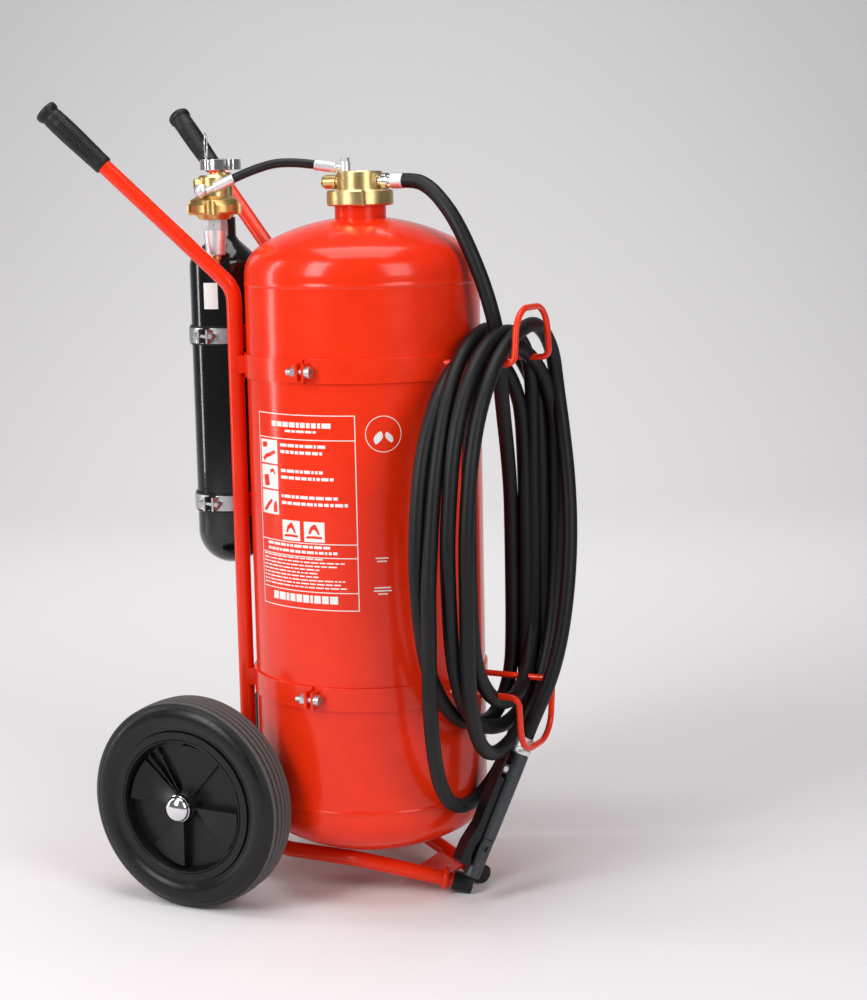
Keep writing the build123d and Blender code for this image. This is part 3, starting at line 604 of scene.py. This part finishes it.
BENT_ARM = [(0.12, 0.80), (0.30, 0.62), (0.55, 0.55), (0.86, 0.40),
            (0.90, 0.55), (0.60, 0.70), (0.36, 0.78), (0.20, 0.92)]
BLOCK = [(0.10, 0.12), (0.40, 0.10), (0.42, 0.30), (0.12, 0.36)]
BOTTLE = [(0.15, 0.45), (0.45, 0.40), (0.50, 0.88), (0.20, 0.90)]
GRIP = [(0.55, 0.20), (0.75, 0.12), (0.88, 0.30), (0.85, 0.42), (0.72, 0.26), (0.58, 0.34)]
JET = [(0.10, 0.85), (0.35, 0.55), (0.60, 0.35), (0.66, 0.44), (0.44, 0.68), (0.24, 0.92)]
TONGUE = [(0.70, 0.90), (0.72, 0.60), (0.82, 0.42), (0.88, 0.42), (0.92, 0.62), (0.92, 0.90)]
PICTURES = [(BENT_ARM, BLOCK), (BOTTLE, GRIP), (JET, TONGUE)]
FLAME = [(0.22, 0.62), (0.30, 0.30), (0.48, 0.12), (0.58, 0.12), (0.70, 0.36), (0.78, 0.62)]
BASE = [(0.12, 0.72), (0.50, 0.70), (0.88, 0.72), (0.88, 0.84), (0.50, 0.82), (0.12, 0.84)]
# White squares, by shares of the panel: left, top, right, bottom.
STEP_SQUARES = [(0.03, 0.140 + 0.131 * step, 0.26, 0.140 + 0.131 * step + 0.122)
                for step in range(3)]
CLASS_SQUARES = [(0.30, 0.545, 0.49, 0.648), (0.53, 0.545, 0.72, 0.648)]


def panel_marks():
    """Red marks in the white squares: a picture for each step and a plain flame for each class."""
    squares = zip(STEP_SQUARES + CLASS_SQUARES, PICTURES + 2 * [(FLAME, BASE)])
    return [mark(*square, outline) for square, picture in squares for outline in picture]


def panel_print():
    """A thin frame, its dividers, the white squares, and bars in place of the text."""
    rng = np.random.default_rng(7)
    line, post = 0.0045, 0.0075
    slabs = [printed(0, 0, 1, line), printed(0, 1 - line, 1, 1),
             printed(0, 0, post, 1), printed(1 - post, 0, 1, 1)]
    slabs += [printed(0, at, 1, at + line) for at in (0.125, 0.655, 0.725, 0.905)]
    for square in STEP_SQUARES:
        slabs.append(printed(*square))
        slabs += bars(0.30, 0.95, square[1] + 0.012, 2, 0.034, 0.016, 0.45, rng)
    slabs += [printed(*square) for square in CLASS_SQUARES]
    slabs += bars(0.20, 0.82, 0.040, 1, 0.03, 0.026, 0.0, rng)
    slabs += bars(0.36, 0.68, 0.080, 1, 0.03, 0.012, 0.0, rng)
    slabs += bars(0.10, 0.92, 0.668, 2, 0.028, 0.014, 0.2, rng)
    slabs += bars(0.03, 0.97, 0.733, 9, 0.0185, 0.007, 0.4, rng)
    slabs += bars(0.16, 0.84, 0.925, 1, 0.03, 0.040, 0.0, rng)
    return slabs


def badge_print():
    """A ring round two plain drops, and five short bars below it, beside the panel.

    A point of the ring is its reach times the cosine and sine of its turn, laid on the tank; a
    drop's half width is the sine of the share of its height, to the power 0.8."""
    centre_angle, centre_z, reach, band = 216.5, 607.6, 22.5, 0.9

    def laid(x, z):
        angle = np.radians(centre_angle) + x / TANK_R
        return [on_cylinder(TANK_R + proud, angle, centre_z + z)
                for proud in (BADGE_PROUD, PRINT_SUNK)]

    turn = np.linspace(0, TAU, 49)
    slabs = [laid(np.outer([reach - band, reach], np.cos(turn)),
                  np.outer([reach - band, reach], np.sin(turn)))]
    share = np.linspace(0.02, 0.98, 15)
    for lean, side, size in ((0.35, -6.0, 9.5), (-0.45, 6.5, 8.0)):
        width = size * 0.55 * np.sin(math.pi * share) ** 0.8
        rise = size * (1.7 * share - 1.0)
        middle = side + lean * rise
        slabs.append(laid(np.stack([middle - width, middle + width]),
                          np.stack([rise - 3, rise - 3])))
    bars_angle, thick, millimetres_per_degree = 214.5, 1.6, 2.6
    for z, half in ((455, 8), (451, 6), (418, 10), (414, 11), (410, 6)):
        left = bars_angle - half / millimetres_per_degree
        right = bars_angle + half / millimetres_per_degree
        slabs.append(patch([(left, z), (right, z), (right, z - thick), (left, z - thick)]))
    return slabs


slab_mesh("instruction_print", panel_print(), "chassis", WHITE_PRINT)
slab_mesh("instruction_marks", panel_marks(), "chassis", RED)
slab_mesh("badge_print", badge_print(), "chassis", WHITE_PRINT)
cylinder_corners = [(175, 786), (200, 786), (200, 752), (175, 752)]
slab_mesh("cylinder_print", [patch(cylinder_corners, GAS_R, GAS_Y)], "chassis", WHITE_PRINT)


# ---------------------------------------------------------------- wheels

def tyre_profile():
    """The tyre's section as (radius, depth from the outer face): a sidewall, the tread, its mirror.

    The sidewall is rounded with a fine ridge; the tread has five ribs on a crown that falls by
    the square of the distance from the middle, with a groove after each."""
    wall = [(97.2, 6.0), (98.0, 4.6), (99.6, 4.2), (102.0, 4.0), (104.4, 2.9), (107.6, 1.2),
            (111.4, 0.2), (115.0, 0.0), (118.8, 0.5), (122.6, 1.6), (125.2, 2.9), (125.9, 2.6),
            (126.8, 3.0), (127.4, 4.0), (129.6, 5.3), (131.6, 7.0), (132.4, 8.4)]
    ribs = []
    pitch, groove = 8.6, 1.9
    for rib in range(5):
        start = pitch * (rib + 1)
        end = start + pitch - groove
        middle = (start + end) / 2
        crown = WHEEL_R - 1.2 * ((middle - WHEEL_WIDTH / 2) / 19.0) ** 2
        ribs += [(crown - 2.6, start), (crown - 0.5, start + 0.25), (crown, start + 1.0),
                 (crown, end - 1.0), (crown - 0.5, end - 0.25), (crown - 2.6, end)]
    far = [(radius, WHEEL_WIDTH - depth) for radius, depth in wall[::-1]]
    return wall + ribs[1:-1] + far + [(97.2, WHEEL_WIDTH / 2), (97.2, 6.0)]


BLADE_WIDTH = math.radians(41)
RIM_RIBS_AT = np.radians([49, 60])
RIM_RIB_RISE = 6.5


def rim_face(radius, clock):
    """Depth of the rim's front below the outer face, at a radius and a clock angle.

    The lip steps down to a dish; four blades rise out of it, one from each quarter hour, each
    tilted down along the turn. Two thin ribs stand in the last open sector. The hub is raised."""
    depth = 2.0 + 1.5 * smooth_step(radius, 88.5, 87.0) + 16.0 * smooth_step(radius, 84.2, 81.2)
    depth = depth - 1.6 * smooth_step(radius, 84.0, 84.8) * smooth_step(radius, 86.6, 85.8)
    turn = np.mod(clock, math.pi / 2)
    inside = smooth_step(radius, 80.5, 79.5)
    sides = smooth_step(turn, 0.0, 0.014) * smooth_step(turn, BLADE_WIDTH + 0.014, BLADE_WIDTH)
    blade = sides * inside
    depth = depth - blade * (12.5 - 8.0 * turn / BLADE_WIDTH)
    last_quarter = smooth_step(clock, 1.5 * math.pi, 1.5 * math.pi + 0.1)
    for at in RIM_RIBS_AT:
        offset = np.abs(turn - at) * radius
        rib = smooth_step(offset, 1.3, 0.9) * smooth_step(radius, 82, 78)
        depth = depth - rib * RIM_RIB_RISE * (1 - blade) * last_quarter
    hub = smooth_step(radius, 19.5, 17.5)
    return depth * (1 - hub) + 3.0 * hub


def wheel_grid(radii, depth, clock, side):
    """Points of a wheel surface: radius and clock angle in the wheel's plane, depth inwards."""
    x = side * (WHEEL_OUT - depth)
    y = AXLE_Y - radii * np.sin(clock)
    z = WHEEL_R + radii * np.cos(clock)
    return placed(np.stack([x, y, z], -1))


def rim_grid(side):
    """The rim's closed skin: the front dish from the bore outwards, the plain back, the bore."""
    clock = np.linspace(0, TAU, 432, endpoint=False)[None, :]
    front = np.r_[12.05, 14, np.linspace(17, 30, 14), np.linspace(32, 78, 24),
                  np.linspace(79, 89, 31), 92, 95, 96.6, 97.1][:, None]
    front_depth = rim_face(front, clock)
    back = front[::-1]
    hollow = 20.0 * smooth_step(back, 84.5, 81.5) * smooth_step(back, 18, 21)
    back_depth = WHEEL_WIDTH - 2.0 - hollow
    radii = np.repeat(np.r_[front, back, front[:1]], clock.size, axis=1)
    depth = np.r_[front_depth, np.repeat(back_depth, clock.size, axis=1), front_depth[:1]]
    return wheel_grid(radii, depth, clock, side)


def tyre_grid(side):
    """The tyre's section carried round the axle."""
    section = np.array(tyre_profile())
    clock = np.linspace(0, TAU, 180, endpoint=False)[None, :]
    radii = np.repeat(section[:, :1], clock.size, axis=1)
    depth = np.repeat(section[:, 1:], clock.size, axis=1)
    return wheel_grid(radii, depth, clock, side)


for side, name in ((-1, "left"), (1, "right")):
    body = "wheel_" + name
    shell("solid_tyre_" + name, [tyre_grid(side)], body, TYRE, ("tyre_" + name,))
    shell("dished_rim_" + name, [rim_grid(side)], body, RIM_PLASTIC,
          ("rim_" + name,))


def hub_cap(side):
    """A flange with a domed cap: a quarter ellipse turned about the axle."""
    dome = np.radians(np.linspace(0, 90, 14))
    profile = np.r_[[(8.1, 0), (16.4, 0), (17.5, 0.8), (17.5, 2.6), (16.6, 3.4)],
                    np.c_[16.6 * np.cos(dome), 3.4 + 9.6 * np.sin(dome)], [(0, 13.0)]]
    return lathe(profile, (side * (WHEEL_OUT + 2.5), AXLE_Y, WHEEL_R), (side, 0, 0), 64)


shell("hub_caps", [hub_cap(side) for side in (-1, 1)], "chassis", CHROME,
      ("axle_caps",))


# ---------------------------------------------------------------- handle grips

GRIP_END = np.array([-153.0, 367.0, 1007.0])
GRIP_BEND = np.array([-75.5, 145.5, 781.0])


def grip_grid(side):
    """A moulded grip along the handle: a flared end, a barrel with slots in four panels, a tail.

    Slot depth is a comb along the length times a window round the barrel."""
    end = GRIP_END * [-side, 1, 1]
    bend = GRIP_BEND * [-side, 1, 1]
    inward = (bend - end) / np.linalg.norm(bend - end)
    flare = [(0.0, 0.0), (11, 0.0), (14, 0.3), (15.2, 1.4), (15.5, 4.0), (15.3, 7.0),
             (14.4, 9.0), (13.2, 10.5), (13.0, 13.0), (13.6, 15.0)]
    length = np.linspace(16, 96, 230)
    barrel = np.c_[13.7 - 1.2 * smooth_step(length, 40, 96), length]
    tail = [(12.5, 98), (12.5, 101.5), (12.0, 103.2), (11.2, 104.0), (10.1, 104.0), (10.1, 90),
            (0, 90)]
    slot_pitch = 3.4

    def slotted(angle, radius, height):
        comb = smooth_step(np.cos(height * TAU / slot_pitch), 0.15, 0.75)
        window = smooth_step(np.abs(np.cos(2 * angle)), 0.35, 0.6)
        span = smooth_step(height, 27, 30) * smooth_step(height, 84, 81)
        swell = 0.35 * smooth_step(height, 22, 28) * smooth_step(height, 90, 84) * window
        return radius + np.where(radius > 11.5, swell - 0.9 * comb * window * span, 0.0)

    return lathe(np.r_[flare, barrel, tail], end - inward * 4, inward, 128, slotted)


for side, name in ((1, "left"), (-1, "right")):
    shell("moulded_grip_" + name, [grip_grid(side)], "chassis", GRIP_PLASTIC,
          ("grip_" + name,), math.radians(60))


# ---------------------------------------------------------------- finishes of the CAD nodes

FINISHES = [
    (RED, "red_paint", [
        "tank_neck", "lower_band", "upper_band", "frame_tube_left", "frame_tube_right",
        "tube_brackets", "cylinder_bars", "foot_plate", "foot_loop", "hook_lower", "hook_upper"]),
    (BRASS, "brass", [
        "head_body", "relief_body", "relief_poppet", "valve_body", "valve_plug",
        "regulator_vent", "ring_nut"]),
    (CAST_BRASS, "brass", ["union_nut"]),
    (CHROME, "chrome", ["outlet_fitting", "handwheel"]),
    (SATIN_ALLOY, "cast_aluminium", [
        "outlet_ferrule", "hose_ferrule", "gas_banjo_bolt", "gas_ferrules", "regulator_body"]),
    (ZINC, "zinc_steel", [
        "band_bolts", "cylinder_clamps", "clamp_bolts", "axle_washers", "safety_pin",
        "pin_ring", "lever_rivet"]),
    (STEEL, "dull_steel", ["axle", "valve_spindle", "relief_spring", "dip_tube"]),
    (RUBBER, "black_rubber", ["foot_caps", "clamp_liners", "neck_seal"]),
    (LEVER_PLASTIC, "black_plastic", ["lance_lever"]),
    (NYLON, "pale_nylon", ["bush_left", "bush_right"]),
    (ANODISED, "dark_anodised", [
        "lance_body", "nozzle_sleeve", "nozzle_vanes", "lance_plunger"]),
]
for material, slot, names in FINISHES:
    for name in names:
        NODES[name].data.materials.clear()
        NODES[name].data.materials.append(material)


# ---------------------------------------------------------------- floor, backdrop and light

def backdrop():
    """A pale floor that sweeps up behind the object: flat, then a quarter circle, then a wall, its
    paper painted darker up the wall as painted light falloff.
    """
    bend_at, bend_r, wall_top = 3.0, 2.5, 8.0
    ahead = np.array([AHEAD.x, AHEAD.y]) / math.hypot(AHEAD.x, AHEAD.y)
    side = np.array([ahead[1], -ahead[0]])
    bend = np.radians(np.linspace(4, 90, 24))
    flat = np.r_[-6.0, np.linspace(-2, bend_at, 24)]
    run = np.r_[flat, bend_at + bend_r * np.sin(bend), bend_at + bend_r]
    rise = np.r_[np.zeros(flat.size), bend_r * (1 - np.cos(bend)), wall_top]
    spread = np.linspace(-7, 7, 24)
    ground = ahead * run[:, None, None] + side * spread[None, :, None]
    level = np.broadcast_to(rise[:, None, None], (*ground.shape[:2], 1))
    points = np.concatenate([ground, level], -1)
    rows, columns = points.shape[:2]
    index = np.arange(rows * columns).reshape(rows, columns)
    quads = np.stack([index[:-1, :-1], index[1:, :-1], index[1:, 1:], index[:-1, 1:]], -1)
    mesh = bpy.data.meshes.new("studio_sweep")
    mesh.from_pydata(points.reshape(-1, 3).tolist(), [], quads.reshape(-1, 4).tolist())
    mesh.shade_smooth()
    paper = Finish("studio_paper", Roughness=0.9, Specular_IOR_Level=0.1)
    height = paper.parts(paper.place())[2]
    # The paper's colour darkens with height: painted light falloff up the backdrop.
    painted_light_falloff = paper.spread(height + 0.02 * paper.noise(3.0, 3.0), 0.0, 3.2).clamped()
    colour = paper.blend(painted_light_falloff, (0.82, 0.80, 0.81), (0.56, 0.56, 0.56))
    mesh.materials.append(paper.show(Base_Color=colour))
    linked("studio_sweep", mesh)


def softbox(name, at, toward, width, height, power):
    """A white rectangular lamp that faces a point."""
    data = bpy.data.lights.new(name, "AREA")
    data.shape = "RECTANGLE"
    data.size, data.size_y, data.energy = width, height, power
    lamp = linked(name, data)
    lamp.location = at
    lamp.rotation_euler = (Vector(toward) - Vector(at)).to_track_quat("-Z", "Y").to_euler()


backdrop()
softbox("key_box", (-2.6, 0.8, 2.0), (0, 0, 0.5), 0.9, 2.2, 58)
softbox("front_box", (-1.4, -2.9, 1.9), (0, 0, 0.5), 1.4, 2.2, 46)
softbox("left_strip", (-0.9, 2.3, 1.2), (0, 0, 0.5), 0.3, 2.2, 16)
softbox("top_box", (-0.2, -0.1, 3.2), (0, 0, 0.4), 2.0, 2.0, 46)
softbox("sweep_wash", (1.6, 0.8, 3.0), (4.6, 2.3, 1.2), 3.0, 1.6, 78)

world = bpy.data.worlds.new("studio_air")
bpy.context.scene.world = world
world.use_nodes = True
air = world.node_tree.nodes["Background"]
air.inputs["Color"].default_value = (0.90, 0.91, 0.93, 1)
air.inputs["Strength"].default_value = 0.16
